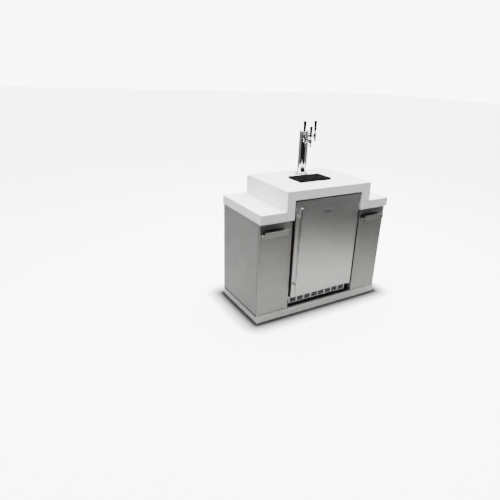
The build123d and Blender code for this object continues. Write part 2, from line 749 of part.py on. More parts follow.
def faucet(angle, height):
    """A beer faucet on its shank: locknut, collar, coupling nut, barrel, lever seat and curved spout."""
    shank = tap_plane(angle, height)
    outward = shank.z_dir
    upright = Plane(origin=shank.origin + outward * tap_reach, x_dir=shank.x_dir, z_dir=(0, 0, 1))
    along = Plane(origin=shank.origin, x_dir=outward, z_dir=outward.cross(Vector(0, 0, 1)))
    with BuildPart() as piece:
        rod(shank, 36, 44, 17)
        post(tower_x, tower_y, (height - 30, height + 30), column_r + 0.1, Mode.SUBTRACT)
        rod(shank, 21, 52, 10.2)
        with BuildSketch(shank.offset(27)):
            RegularPolygon(13.5, 6)
        extrude(amount=5)
        rod(shank, 50, 62, 15)
        rod(shank, 62, tap_reach, 10.8)
        rod(upright, -11.5, 16, 12)
        with BuildLine(along) as route:
            bend = JernArc((82, -2), (cos(radians(35)), -sin(radians(35))), spout_bend, -40)
            Line(bend @ 1, (bend @ 1) + (bend % 1) * 28)
        with BuildSketch(Plane(origin=route.line @ 0, z_dir=route.line % 0)):
            Circle(spout_r)
        sweep(path=route.line)
        mouth = Plane(origin=route.line @ 1, z_dir=route.line % 1)
        rod(mouth, -24, 1, spout_bore_r, Mode.SUBTRACT)
        rod(upright, 1.3, 17, lever_ball_r + 0.4, Mode.SUBTRACT)
        rod(upright, 16 + gap, 22, 14)
        slot = Plane(origin=upright.origin, x_dir=outward, z_dir=(0, 0, 1))
        with Locations(slot.offset(19)):
            with Locations((4, 0)):
                Box(17, 9, 8, mode=Mode.SUBTRACT)
    return piece


def tap_lever(angle, height):
    """The lever: a ball in the faucet's seat, a stem and the ferrule that the handle screws on to."""
    shank = tap_plane(angle, height)
    upright = Plane(origin=shank.origin + shank.z_dir * tap_reach, x_dir=shank.x_dir, z_dir=(0, 0, 1))
    with BuildPart() as piece:
        with Locations(upright.offset(pivot_rise)):
            Sphere(lever_ball_r)
        rod(upright, pivot_rise, handle_rise - gap, lever_stem_r)
        rod(upright, ferrule_rise, handle_rise - gap, ferrule_r)
        chamfer(piece.edges().filter_by(GeomType.CIRCLE).group_by(Axis.Z)[-1], 1)
    return piece


def tap_handle(angle, height):
    """A plain handle, wider at its top."""
    shank = tap_plane(angle, height)
    upright = Plane(origin=shank.origin + shank.z_dir * tap_reach, x_dir=shank.x_dir, z_dir=(0, 0, 1))
    with BuildPart() as piece:
        with BuildSketch(upright.offset(handle_rise)):
            Circle(handle_foot_r)
        with BuildSketch(upright.offset(handle_rise + handle_neck)):
            Circle(handle_neck_r)
        loft()
        with BuildSketch(upright.offset(handle_rise + handle_neck)):
            Circle(handle_neck_r)
        with BuildSketch(upright.offset(handle_rise + handle_long)):
            Circle(handle_top_r)
        loft()
        fillet(piece.edges().group_by(Axis.Z)[-1], 3)
    return piece


for side, angle in tap_angles.items():
    height = tap_heights[side]
    save(faucet(angle, height), f"faucet_{side}")
    save(tap_lever(angle, height), f"tap_lever_{side}")
    save(tap_handle(angle, height), f"tap_handle_{side}")


# ---------------------------------------------------------------- drip tray

tray_z = (raised_top, raised_top + tray_high)
tray_wall = 2.0
grid_pitch = 14.0

with BuildPart() as drip_tray:
    block(tray_x, tray_y, tray_z)
    fillet(drip_tray.edges().filter_by(Axis.Z), 6)
    inner_tray_x = (tray_x[0] + tray_wall, tray_x[1] - tray_wall)
    inner_tray_y = (tray_y[0] + tray_wall, tray_y[1] - tray_wall)
    block(inner_tray_x, inner_tray_y, (tray_z[0] + tray_wall, tray_z[1] + 1), Mode.SUBTRACT)
    for x in (tray_x[0] + 5, tray_x[1] - 5):
        for y in (tray_y[0] + 5, tray_y[1] - 5):
            block((x - 3, x + 3), (y - 3, y + 3), (tray_z[0] + tray_wall, tray_z[0] + 10.5))
save(drip_tray, "drip_tray")

with BuildPart() as drip_grid:
    grid_x = (tray_x[0] + 2.5, tray_x[1] - 2.5)
    grid_y = (tray_y[0] + 2.5, tray_y[1] - 2.5)
    block(grid_x, grid_y, (tray_z[0] + 10.8, tray_z[0] + 13.8))
    fillet(drip_grid.edges().filter_by(Axis.Z), 4)
    with Locations(((grid_x[0] + grid_x[1]) / 2, (grid_y[0] + grid_y[1]) / 2, tray_z[0] + 12)):
        with GridLocations(grid_pitch, 80, 20, 2):
            Box(grid_pitch / 2, 68, 10, mode=Mode.SUBTRACT)
save(drip_grid, "drip_grid")
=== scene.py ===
"""The looks of the kegerator module: materials, fine detail, camera and light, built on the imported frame."""

import json
from math import cos, pi, radians, sin

import bmesh
import bpy
from mathutils import Matrix, Vector


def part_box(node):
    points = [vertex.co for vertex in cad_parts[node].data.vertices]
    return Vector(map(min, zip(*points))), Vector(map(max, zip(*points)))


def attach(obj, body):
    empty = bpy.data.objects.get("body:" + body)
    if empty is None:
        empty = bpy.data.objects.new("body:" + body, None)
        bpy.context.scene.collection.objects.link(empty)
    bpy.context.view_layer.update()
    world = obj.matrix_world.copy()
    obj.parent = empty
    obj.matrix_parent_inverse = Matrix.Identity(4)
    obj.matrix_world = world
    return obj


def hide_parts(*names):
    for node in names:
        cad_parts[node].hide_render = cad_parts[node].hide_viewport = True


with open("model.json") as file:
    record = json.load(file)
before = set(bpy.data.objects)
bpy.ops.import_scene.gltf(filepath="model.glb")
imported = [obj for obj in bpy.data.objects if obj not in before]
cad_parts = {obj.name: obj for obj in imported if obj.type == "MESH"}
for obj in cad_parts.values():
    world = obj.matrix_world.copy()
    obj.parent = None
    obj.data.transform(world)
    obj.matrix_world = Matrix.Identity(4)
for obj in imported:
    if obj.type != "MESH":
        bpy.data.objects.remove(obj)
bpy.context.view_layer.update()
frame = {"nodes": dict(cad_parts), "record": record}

record = frame["record"]
X, Y, Z = Vector((1, 0, 0)), Vector((0, 1, 0)), Vector((0, 0, 1))


# ---------------------------------------------------------------- materials

SCRATCH_LONG, SCRATCH_FINE = 6, 900    # how a scratch's noise is stretched, along it and across it
SCRATCH_DEPTH = 0.00006
STEEL_EDGE = 0.0012                    # the radius that steel's edges are seen to have


class Shader:
    """A Principled material and short ways to add nodes to it."""

    def __init__(self, name, color, rough, metal=0.0, **sockets):
        self.material = bpy.data.materials.new(name)
        self.material.use_nodes = True
        self.tree = self.material.node_tree
        self.bsdf = self.tree.nodes["Principled BSDF"]
        self.bsdf.inputs["Base Color"].default_value = (*color, 1)
        self.bsdf.inputs["Roughness"].default_value = rough
        self.bsdf.inputs["Metallic"].default_value = metal
        for socket, value in sockets.items():
            self.bsdf.inputs[socket.replace("_", " ")].default_value = value
        self.color = color
        self.coords = self.tree.nodes.new("ShaderNodeTexCoord").outputs["Object"]

    def link(self, output, target):
        self.tree.links.new(output, target)

    def noise(self, scale, stretch=(1, 1, 1), detail=4.0, rough=0.6):
        """Noise in the object's own metres, stretched along its grain."""
        mapping = self.tree.nodes.new("ShaderNodeMapping")
        mapping.inputs["Scale"].default_value = stretch
        self.link(self.coords, mapping.inputs["Vector"])
        texture = self.tree.nodes.new("ShaderNodeTexNoise")
        texture.inputs["Scale"].default_value = scale
        texture.inputs["Detail"].default_value = detail
        texture.inputs["Roughness"].default_value = rough
        self.link(mapping.outputs["Vector"], texture.inputs["Vector"])
        return texture.outputs["Fac"]

    def ramp(self, value, low, high, out_low, out_high):
        """Map a value from low..high on to out_low..out_high."""
        node = self.tree.nodes.new("ShaderNodeMapRange")
        for index, number in zip((1, 2, 3, 4), (low, high, out_low, out_high)):
            node.inputs[index].default_value = number
        self.link(value, node.inputs[0])
        return node.outputs[0]

    def vary_color(self, value, other):
        """Mix the base colour towards another one by a 0..1 value."""
        mix = self.tree.nodes.new("ShaderNodeMix")
        mix.data_type = "RGBA"
        mix.inputs["A"].default_value = (*self.color, 1)
        mix.inputs["B"].default_value = (*other, 1)
        self.link(value, mix.inputs["Factor"])
        self.link(mix.outputs["Result"], self.bsdf.inputs["Base Color"])

    def vary_rough(self, value):
        self.link(value, self.bsdf.inputs["Roughness"])

    def edge_wear_and_highlight(self, radius):
        """1 close to an edge and 0 on the flats, from the rounded normal against the true one."""
        rounded = self.tree.nodes.new("ShaderNodeBevel")
        rounded.inputs["Radius"].default_value = radius
        true = self.tree.nodes.new("ShaderNodeNewGeometry")
        dot = self.tree.nodes.new("ShaderNodeVectorMath")
        dot.operation = "DOT_PRODUCT"
        self.link(rounded.outputs["Normal"], dot.inputs[0])
        self.link(true.outputs["Normal"], dot.inputs[1])
        return self.ramp(dot.outputs["Value"], 0.98, 0.75, 0, 1)

    def hollow_shade_mask(self, reach, shut, clear):
        """0 deep in a hollow and 1 in the open, from how much of the sky within reach is covered; the mask for
        painted shade in hollows.
        """
        node = self.tree.nodes.new("ShaderNodeAmbientOcclusion")
        node.inputs["Distance"].default_value = reach
        node.samples = 12
        return self.ramp(node.outputs["AO"], shut, clear, 0, 1)

    def bump(self, value, height, edge=0.0):
        """Raise the surface by a value, over edges rounded by edge metres."""
        node = self.tree.nodes.new("ShaderNodeBump")
        node.inputs["Distance"].default_value = height
        self.link(value, node.inputs["Height"])
        if edge:
            rounded = self.tree.nodes.new("ShaderNodeBevel")
            rounded.inputs["Radius"].default_value = edge
            self.link(rounded.outputs["Normal"], node.inputs["Normal"])
        self.link(node.outputs["Normal"], self.bsdf.inputs["Normal"])

    def scratch(self, along, smoothest, roughest):
        """Fine scratches along one axis, in the roughness and in the surface."""
        stretch = tuple(SCRATCH_LONG if axis == along else SCRATCH_FINE for axis in "xyz")
        grain = self.noise(1.0, stretch, 3.0, 0.7)
        self.vary_rough(self.ramp(grain, 0.25, 0.75, smoothest, roughest))
        self.bump(grain, SCRATCH_DEPTH, STEEL_EDGE)


def brushed(name, color, rough, along, dark=0.86):
    """Brushed steel: fine scratches along one axis, and faint darker smudges."""
    shader = Shader(name, color, rough, 1.0, Anisotropic=0.45)
    clouds = shader.noise(5.0, detail=3.0)
    shader.vary_color(shader.ramp(clouds, 0.3, 0.75, 0, 1), tuple(c * dark for c in color))
    shader.scratch(along, rough - 0.06, rough + 0.08)
    return shader.material


def trough_steel():
    """The pull-outs' folded handles: brushed, with painted shade down inside the fold."""
    shader = Shader("trough_steel", (0.09, 0.09, 0.088), 0.42, 1.0, Anisotropic=0.45)
    # painted shade: the colour goes from the open steel to near black deep inside the fold, by how enclosed
    # each spot is
    shader.vary_color(shader.hollow_shade_mask(0.08, 0.5, 0.97), (0.5, 0.5, 0.49))
    shader.scratch("x", 0.38, 0.5)
    return shader.material


def painted(name, color, rough, grain=900.0, height=0.00008, edge=0.001, metal=0.0, wear_and_highlight=None, gloss=0.5):
    """Powder coat, plastic or cast metal: an even fine texture, with either smudges or lighter edges, which
    are real wear on brass and copper and a painted highlight on the black satin metal's rims.
    """
    shader = Shader(name, color, rough, metal, Specular_IOR_Level=gloss)
    texture = shader.noise(grain, detail=2.0)
    clouds = shader.noise(7.0, detail=4.0)
    # lighter edges: real wear on brass and copper, a painted highlight along the black satin metal's rims
    if wear_and_highlight:
        shader.vary_color(shader.edge_wear_and_highlight(edge * 1.5), wear_and_highlight)
    else:
        shader.vary_color(shader.ramp(clouds, 0.35, 0.8, 0, 1), tuple(c * 0.88 + 0.004 for c in color))
    shader.vary_rough(shader.ramp(clouds, 0.3, 0.7, rough - 0.05, rough + 0.08))
    shader.bump(texture, height, edge)
    return shader.material


def solid_surface():
    """White worktop: faint mineral mottling under a smooth satin face."""
    shader = Shader("solid_surface", (0.93, 0.94, 0.95), 0.36, Coat_Weight=0.08)
    specks = shader.noise(420.0, detail=5.0, rough=0.8)
    clouds = shader.noise(3.5, detail=3.0)
    both = shader.tree.nodes.new("ShaderNodeMath")
    both.operation = "MULTIPLY"
    shader.link(shader.ramp(specks, 0.45, 0.75, 0, 1), both.inputs[0])
    shader.link(shader.ramp(clouds, 0.2, 0.8, 0.3, 1), both.inputs[1])
    shader.vary_color(both.outputs[0], (0.83, 0.84, 0.85))
    shader.vary_rough(shader.ramp(clouds, 0.3, 0.7, 0.32, 0.44))
    shader.bump(specks, 0.00002, 0.0025)
    return shader.material


def chrome():
    """Polished chrome with light handling marks, and painted shade darkening it in its hollows."""
    shader = Shader("chrome", (0.08, 0.085, 0.09), 0.05, 1.0)
    marks = shader.noise(38.0, detail=6.0, rough=0.75)
    # painted shade: the colour goes dark in hollows and crevices, by how enclosed each spot is
    shader.vary_color(shader.hollow_shade_mask(0.03, 0.35, 0.9), (0.68, 0.69, 0.70))
    shader.vary_rough(shader.ramp(marks, 0.35, 0.75, 0.035, 0.13))
    shader.bump(shader.noise(60.0, detail=2.0), 0.00003, 0.0006)
    return shader.material


def foam():
    """Rigid foam: pale yellow with open cells."""
    shader = Shader("foam", (0.78, 0.68, 0.42), 0.9)
    cells = shader.tree.nodes.new("ShaderNodeTexVoronoi")
    cells.inputs["Scale"].default_value = 700.0
    shader.link(shader.coords, cells.inputs["Vector"])
    shader.vary_color(shader.ramp(cells.outputs["Distance"], 0.1, 0.8, 0, 1), (0.66, 0.55, 0.3))
    shader.bump(cells.outputs["Distance"], 0.0003)
    return shader.material


def plywood():
    """Raw core board: long grain with darker rings."""
    shader = Shader("core_board", (0.62, 0.46, 0.28), 0.75)
    grain = shader.noise(1.0, (8, 220, 220), 5.0)
    shader.vary_color(shader.ramp(grain, 0.35, 0.7, 0, 1), (0.42, 0.28, 0.15))
    shader.bump(grain, 0.0002)
    return shader.material


def lit_panel():
    """The diffuser over the fridge's light strip."""
    shader = Shader("diffuser", (0.9, 0.93, 0.95), 0.4)
    shader.bsdf.inputs["Emission Color"].default_value = (0.8, 0.9, 1.0, 1)
    shader.bsdf.inputs["Emission Strength"].default_value = 0.6
    ribs = shader.noise(1.0, (600, 5, 5), 1.0)
    shader.bump(ribs, 0.0002)
    return shader.material


materials = {
    "solid_surface": solid_surface(),
    "core_board": plywood(),
    "carcase_board": painted("carcase_board", (0.2, 0.2, 0.198), 0.42),
    "black_board": painted("black_board", (0.012, 0.012, 0.013), 0.55),
    "plinth_steel": brushed("plinth_steel", (0.56, 0.56, 0.55), 0.36, "x"),
    "black_plastic": painted("black_plastic", (0.018, 0.018, 0.02), 0.42, 500.0),
    "zinc_steel": painted("zinc_steel", (0.58, 0.59, 0.6), 0.34, 60.0, 0.00005, metal=1.0),
    "brushed_steel": brushed("brushed_steel", (0.41, 0.41, 0.395), 0.52, "x", 0.94),
    "door_steel": brushed("door_steel", (0.6, 0.6, 0.59), 0.34, "x", 0.94),
    "handle_steel": brushed("handle_steel", (0.66, 0.66, 0.65), 0.26, "z"),
    "black_steel": painted("black_steel", (0.014, 0.014, 0.015), 0.34, wear_and_highlight=(0.05, 0.05, 0.05)),
    "foam": foam(),
    "liner_steel": brushed("liner_steel", (0.62, 0.62, 0.62), 0.3, "z"),
    "liner_plastic": painted("liner_plastic", (0.74, 0.76, 0.77), 0.38, 300.0, 0.00004),
    "button_rubber": painted("button_rubber", (0.09, 0.09, 0.1), 0.6, 700.0),
    "gasket_rubber": painted("gasket_rubber", (0.03, 0.03, 0.034), 0.62, 500.0),
    "badge_metal": brushed("badge_metal", (0.62, 0.62, 0.63), 0.28, "x"),
    "bottle_aluminium": brushed("bottle_aluminium", (0.66, 0.67, 0.68), 0.32, "z"),
    "brass": painted("brass", (0.72, 0.53, 0.24), 0.24, 90.0, 0.00004, metal=1.0, wear_and_highlight=(0.82, 0.65, 0.35)),
    "chrome": chrome(),
    "handle_black": painted("handle_black", (0.004, 0.004, 0.005), 0.5, 120.0, 0.00002, gloss=0.1),
    # black_satin_metal: its lighter edges are a painted highlight along its rims
    "black_satin_metal": painted("black_satin_metal", (0.005,) * 3, 0.6, 400.0, wear_and_highlight=(0.06,) * 3, gloss=0.0),
}
extras = {
    "diffuser": lit_panel(),
    "copper": painted("copper", (0.74, 0.35, 0.2), 0.28, 80.0, 0.00005, metal=1.0, wear_and_highlight=(0.85, 0.5, 0.32)),
    "dial_white": painted("dial_white", (0.8, 0.8, 0.78), 0.4, 900.0, 0.00002),
    "dial_glass_dark": painted("dial_glass_dark", (0.01, 0.014, 0.018), 0.1, 900.0, 0.00001),
    "seam_grey": painted("seam_grey", (0.46, 0.47, 0.48), 0.6, 500.0),
    "trough_steel": trough_steel(),
    "grille_trim": painted("grille_trim", (0.86, 0.86, 0.85), 0.42, 700.0, 0.00003, metal=0.35),
    "louvre_dark": painted("louvre_dark", (0.045, 0.045, 0.046), 0.35, 700.0, 0.00003),
}

own_materials = {
    "toe_grille": extras["grille_trim"],
    "pullout_left_handle": extras["trough_steel"],
    "pullout_right_handle": extras["trough_steel"],
}
for entry in record["subparts"]:
    node = frame["nodes"][entry["node"]]
    node.data.materials.clear()
    node.data.materials.append(own_materials.get(entry["node"]) or materials[entry["material_slot"]])


# ---------------------------------------------------------------- piece helpers

ROUND = 48             # sides of an ordinary turned piece
FINE_ROUND = 72        # sides of a large or a knurled one
SCREW_SIDES = 24


def to_mesh(bm, name):
    """Close a bmesh into a named mesh."""
    mesh = bpy.data.meshes.new(name)
    bm.to_mesh(mesh)
    bm.free()
    return mesh


def ring_walls(bm, rings):
    """Join rings of vertices, from the first to the last, into a closed body."""
    for low, high in zip(rings, rings[1:]):
        for step in range(len(low)):
            after = (step + 1) % len(low)
            bm.faces.new((low[step], low[after], high[after], high[step]))
    bm.faces.new(list(reversed(rings[0])))
    bm.faces.new(rings[-1])


def finish_piece(name, mesh, material, body, smooth=True):
    """Put a mesh in the scene, riding on its body, in its material."""
    piece = bpy.data.objects.new(name, mesh)
    bpy.context.scene.collection.objects.link(piece)
    mesh.materials.append(extras.get(material) or materials[material])
    for polygon in mesh.polygons:
        polygon.use_smooth = smooth
    if smooth:
        mesh.set_sharp_from_angle(angle=radians(35))
    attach(piece, body)
    return piece


def frame_at(origin, axis):
    """A matrix whose z runs along axis from origin."""
    axis = Vector(axis).normalized()
    side = X if abs(axis.x) < 0.9 else Y
    across = axis.cross(side).normalized()
    side = across.cross(axis)
    matrix = Matrix((side, across, axis)).transposed().to_4x4()
    matrix.translation = Vector(origin)
    return matrix


def lathed(name, outline, place, material, body, steps=ROUND):
    """Turn an outline of (radius, height) points about place's z."""
    bm = bmesh.new()
    rings = []
    for radius, height in outline:
        ring = []
        for step in range(steps):
            turn = 2 * pi * step / steps
            ring.append(bm.verts.new((radius * cos(turn), radius * sin(turn), height)))
        rings.append(ring)
    ring_walls(bm, rings)
    bmesh.ops.transform(bm, matrix=place, verts=bm.verts)
    return finish_piece(name, to_mesh(bm, name), material, body)


def soft_box(bm, low, high, bevel, turn=None):
    """Add a box with rounded edges to bm; turn spins it about its own middle."""
    before = set(bm.verts)
    made = bmesh.ops.create_cube(bm, size=1)["verts"]
    low, high = Vector(low), Vector(high)
    bmesh.ops.scale(bm, vec=high - low, verts=made)
    edges = list({edge for vert in made for edge in vert.link_edges})
    bmesh.ops.bevel(bm, geom=edges, offset=bevel, segments=2, affect="EDGES", profile=0.6)
    made = [vert for vert in bm.verts if vert not in before]
    if turn:
        bmesh.ops.rotate(bm, cent=(0, 0, 0), matrix=turn, verts=made)
    bmesh.ops.translate(bm, vec=(low + high) / 2, verts=made)


def boxes(name, spans, material, body, bevel=0.0004, turn=None, smooth=True):
    """One piece from many rounded boxes, each given by its low and high corners."""
    bm = bmesh.new()
    for low, high in spans:
        soft_box(bm, low, high, bevel, turn)
    return finish_piece(name, to_mesh(bm, name), material, body, smooth)


def pipe(name, points, radius, material, body):
    """A round pipe along a smooth route, as a mesh."""
    curve = bpy.data.curves.new(name, "CURVE")
    curve.dimensions = "3D"
    spline = curve.splines.new("NURBS")
    spline.points.add(len(points) - 1)
    for point, place in zip(spline.points, points):
        point.co = (*place, 1)
    spline.order_u = 3
    spline.use_endpoint_u = True
    curve.bevel_depth = radius
    curve.bevel_resolution = 5
    curve.use_fill_caps = True
    holder = bpy.data.objects.new(name + "_route", curve)
    bpy.context.scene.collection.objects.link(holder)
    mesh = bpy.data.meshes.new_from_object(holder.evaluated_get(bpy.context.evaluated_depsgraph_get()))
    bpy.data.objects.remove(holder)
    mesh.materials.clear()
    return finish_piece(name, mesh, material, body)


def screw_heads(name, places, axis, radius, material, body):
    """Domed heads with a hex socket, all in one mesh."""
    bm = bmesh.new()
    outline = ((1, 0), (1, 0.3), (0.8, 0.55), (0.45, 0.62), (0.42, 0.3))
    for place in places:
        matrix = frame_at(place, axis)
        rings = []
        for index, (wide, high) in enumerate(outline):
            in_socket = index == len(outline) - 1
            ring = []
            for step in range(SCREW_SIDES):
                turn = 2 * pi * step / SCREW_SIDES
                hexed = 0.9 + 0.1 * cos(6 * turn) if in_socket else 1.0
                spot = Vector((wide * hexed * cos(turn), wide * hexed * sin(turn), high)) * radius
                ring.append(bm.verts.new(matrix @ spot))
            rings.append(ring)
        ring_walls(bm, rings)
    return finish_piece(name, to_mesh(bm, name), material, body)


# ---------------------------------------------------------------- taps

joints = {joint["name"]: joint for joint in record["behaviour"]["joints"]}

RING_SIDES = 40
RING_RISES = (-0.0105, -0.0045)        # the ferrule's two rings, from the handle's foot
SHANK_DROP, SHANK_REACH = 0.009, 0.092 # from the lever's pivot back to the shank's root on the column's axis
NUT_OUT = 0.0505                       # from that root out to the coupling nut
NUT_CREST, NUT_GROOVE = 0.0159, 0.965  # points beyond the crest radius are drawn in at every other side
BONNET_RISE = 0.0075


def dress_tap(side):
    """Turned handle, ferrule and nut rings for one faucet."""
    joint = joints[f"tap_{side}_pull"]
    pivot = Vector(joint["pos_m"])
    across = Vector(joint["axis"]).normalized()
    outward = across.cross(Z)
    body = f"tap_{side}"
    low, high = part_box(f"tap_handle_{side}")
    base = Vector((pivot.x, pivot.y, low[2]))
    tall = high[2] - low[2]
    wide = (high[0] - low[0]) / 2
    outline = [
        (0.60, 0.0), (0.68, 0.015), (0.68, 0.05), (0.63, 0.06), (0.72, 0.1), (0.78, 0.17), (0.82, 0.3),
        (0.87, 0.5), (0.92, 0.7), (0.98, 0.88), (1.0, 0.955), (0.97, 0.985), (0.86, 1.0), (0.3, 1.0),
    ]
    turned = [(radius * wide, height * tall) for radius, height in outline]
    handle = lathed(f"turned_handle_{side}", turned, frame_at(base, Z), "handle_black", body)
    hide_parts(f"tap_handle_{side}")
    ring = [(0.0036, 0), (0.0092, 0.0004), (0.0096, 0.002), (0.0088, 0.0034), (0.0036, 0.0036)]
    for count, rise in enumerate(RING_RISES):
        place = frame_at(base + Z * rise, Z)
        lathed(f"ferrule_ring_{side}_{count}", ring, place, "chrome", body, RING_SIDES)
    axis_point = Vector((pivot.x, pivot.y, pivot.z - SHANK_DROP)) - outward * SHANK_REACH
    nut = [(0.010, 0), (0.0156, 0.0004), (0.0162, 0.0012), (0.0162, 0.0098), (0.0156, 0.0106), (0.010, 0.011)]
    coupling = frame_at(axis_point + outward * NUT_OUT, outward)
    piece = lathed(f"coupling_nut_{side}", nut, coupling, "chrome", "module", FINE_ROUND)
    for vert in piece.data.vertices:
        spot = coupling.inverted() @ vert.co
        if spot.xy.length > NUT_CREST:
            turn = round(spot.xy.angle_signed(Vector((1, 0))) / (2 * pi / FINE_ROUND))
            if turn % 2:
                spot.xy *= NUT_GROOVE
        vert.co = coupling @ spot
    cap = [
        (0.0128, 0), (0.0146, 0.0006), (0.0150, 0.0016), (0.0150, 0.0034), (0.0143, 0.0044), (0.0128, 0.0048),
    ]
    bonnet = frame_at(Vector((pivot.x, pivot.y, pivot.z + BONNET_RISE)), Z)
    lathed(f"bonnet_band_{side}", cap, bonnet, "chrome", "module")


for side in ("left", "centre", "right"):
    dress_tap(side)

column_low, column_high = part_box("tower_column")
column_middle = Vector(((column_low[0] + column_high[0]) / 2, (column_low[1] + column_high[1]) / 2, 0))
flange_top = column_low[2] + 0.007
screw_circle, screw_r = 0.0475, 0.0036
flange_screws = []
for turn in (45, 135, 225, 315):
    spot = column_middle + Vector((cos(radians(turn)), sin(radians(turn)), 0)) * screw_circle
    flange_screws.append(spot + Z * flange_top)
screw_heads("flange_screws", flange_screws, Z, screw_r, "chrome", "module")
flange_r = (column_high[0] - column_low[0]) / 2
inner, outer, thick = flange_r - 0.002, flange_r + 0.0012, 0.0016
gasket = [(inner, 0.0), (outer, 0.0), (outer, thick), (inner, thick)]
gasket_place = frame_at(column_middle + Z * (column_low[2] + 0.0001), Z)
lathed("tower_gasket", gasket, gasket_place, "gasket_rubber", "module", FINE_ROUND)


# ---------------------------------------------------------------- door

skin_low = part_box("door_skin")[0]
badge_low, badge_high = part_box("badge")
badge_face = badge_low[1]
badge_middle = (badge_low[2] + badge_high[2]) / 2
first_bar, bar_pitch, bar_wide = 0.018, 0.015, 0.008
badge_spans = []
for count in range(3):
    x = badge_low[0] + first_bar + count * bar_pitch
    rise = 0.004 + 0.003 * count
    low = (x, badge_face - 0.0006, badge_middle - rise)
    badge_spans.append((low, (x + bar_wide, badge_face + 0.0004, badge_middle + rise)))
boxes("badge_bars", badge_spans, "button_rubber", "door", 0.0003)

bar_low, bar_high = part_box("door_handle")
bar_x = (bar_low[0] + bar_high[0]) / 2
collar = [
    (0.0075, 0), (0.0118, 0.0003), (0.0126, 0.0014), (0.0122, 0.003), (0.0100, 0.0042), (0.0075, 0.0044),
]
standoff_heights = (0.293, 0.856)
for count, height in enumerate(standoff_heights):
    place = frame_at((bar_x, skin_low[1], height), -Y)
    lathed(f"standoff_foot_{count}", collar, place, "handle_steel", "door")


# ---------------------------------------------------------------- toe grille

grille_low, grille_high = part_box("toe_grille")
window_count, window_pitch, window_reach = 8, 0.0735, 0.0298
fin_count, fin_pitch, fin_reach = 6, 0.009, 0.0041
screw_tab = 0.013
grille_middle = (grille_low[0] + screw_tab + grille_high[0]) / 2
grille_rise = (grille_low[2] + grille_high[2]) / 2
louvre_front, louvre_back = grille_low[1] + 0.0005, grille_low[1] + 0.0013
louvres = []
for window in range(window_count):
    x = grille_middle + (window - (window_count - 1) / 2) * window_pitch
    for row in range(fin_count):
        z = grille_rise + (row - (fin_count - 1) / 2) * fin_pitch
        low = (x - window_reach, louvre_front, z - fin_reach)
        high = (x + window_reach, louvre_back, z + fin_reach)
        louvres.append((low, high))
tilt = Matrix.Rotation(radians(-6), 3, "X")
boxes("grille_louvres", louvres, "louvre_dark", "module", 0.0002, tilt)


# ---------------------------------------------------------------- fridge inside

liner_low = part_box("fridge_liner")[0]
panel_low, panel_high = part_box("control_panel")
display = ((-0.035, panel_low[1] - 0.0004, 0.902), (0.020, panel_low[1] + 0.0006, 0.914))
boxes("display_window", [display], "dial_glass_dark", "module", 0.0003)
lamp = ((-0.15, -0.165, panel_high[2] - 0.009), (0.15, -0.125, panel_high[2] + 0.0001))
boxes("light_strip", [lamp], "diffuser", "module", 0.002)

cover_low, cover_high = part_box("evaporator_cover")
fan_low, fan_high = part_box("evaporator_fan")
fan_middle = Vector(((fan_low[0] + fan_high[0]) / 2, cover_low[1], (fan_low[2] + fan_high[2]) / 2))


def rod_verts(bm, segments, foot, tip, long):
    """Add a closed cone along z to bm, and return its vertices."""
    made = bmesh.ops.create_cone(bm, segments=segments, radius1=foot, radius2=tip, depth=long, cap_ends=True)
    return made["verts"]


def fan_guard(name, middle, axis, radius, rings, body):
    """Concentric wire rings joined by spokes."""
    bm = bmesh.new()
    place = frame_at(middle, axis)
    wire, wire_sides = 0.0011, 8
    spoke_r, spokes = 0.0012, 6
    for ring in range(rings):
        wide = radius * (ring + 1) / rings
        grid = []
        for step in range(ROUND):
            turn = 2 * pi * step / ROUND
            loop = []
            for side in range(wire_sides):
                roll = 2 * pi * side / wire_sides
                reach = wide + wire * cos(roll)
                spot = Vector((reach * cos(turn), reach * sin(turn), wire * sin(roll)))
                loop.append(bm.verts.new(place @ spot))
            grid.append(loop)
        for step in range(ROUND):
            here, there = grid[step], grid[(step + 1) % ROUND]
            for side in range(wire_sides):
                beside = (side + 1) % wire_sides
                bm.faces.new((here[side], there[side], there[beside], here[beside]))
    for spoke in range(spokes):
        made = rod_verts(bm, wire_sides, spoke_r, spoke_r, radius)
        lean = Matrix.Rotation(2 * pi * spoke / spokes, 4, "Z") @ Matrix.Translation((radius / 2, 0, -0.0016))
        lean = place @ lean @ Matrix.Rotation(pi / 2, 4, "Y")
        bmesh.ops.transform(bm, matrix=lean, verts=made)
    return finish_piece(name, to_mesh(bm, name), "black_steel", body)


fan_guard("evaporator_guard", fan_middle - Y * 0.0012, -Y, 0.058, 7, "module")

rib_count, rib_pitch, rib_reach = 22, 0.0238, 0.004
ribs = []
for count in range(rib_count):
    x = -0.25 + count * rib_pitch
    low = (x - rib_reach, -0.218, liner_low[2] + 0.0201)
    ribs.append((low, (x + rib_reach, 0.094, liner_low[2] + 0.0235)))
boxes("floor_ribs", ribs, "liner_steel", "module", 0.001)


# ---------------------------------------------------------------- gas

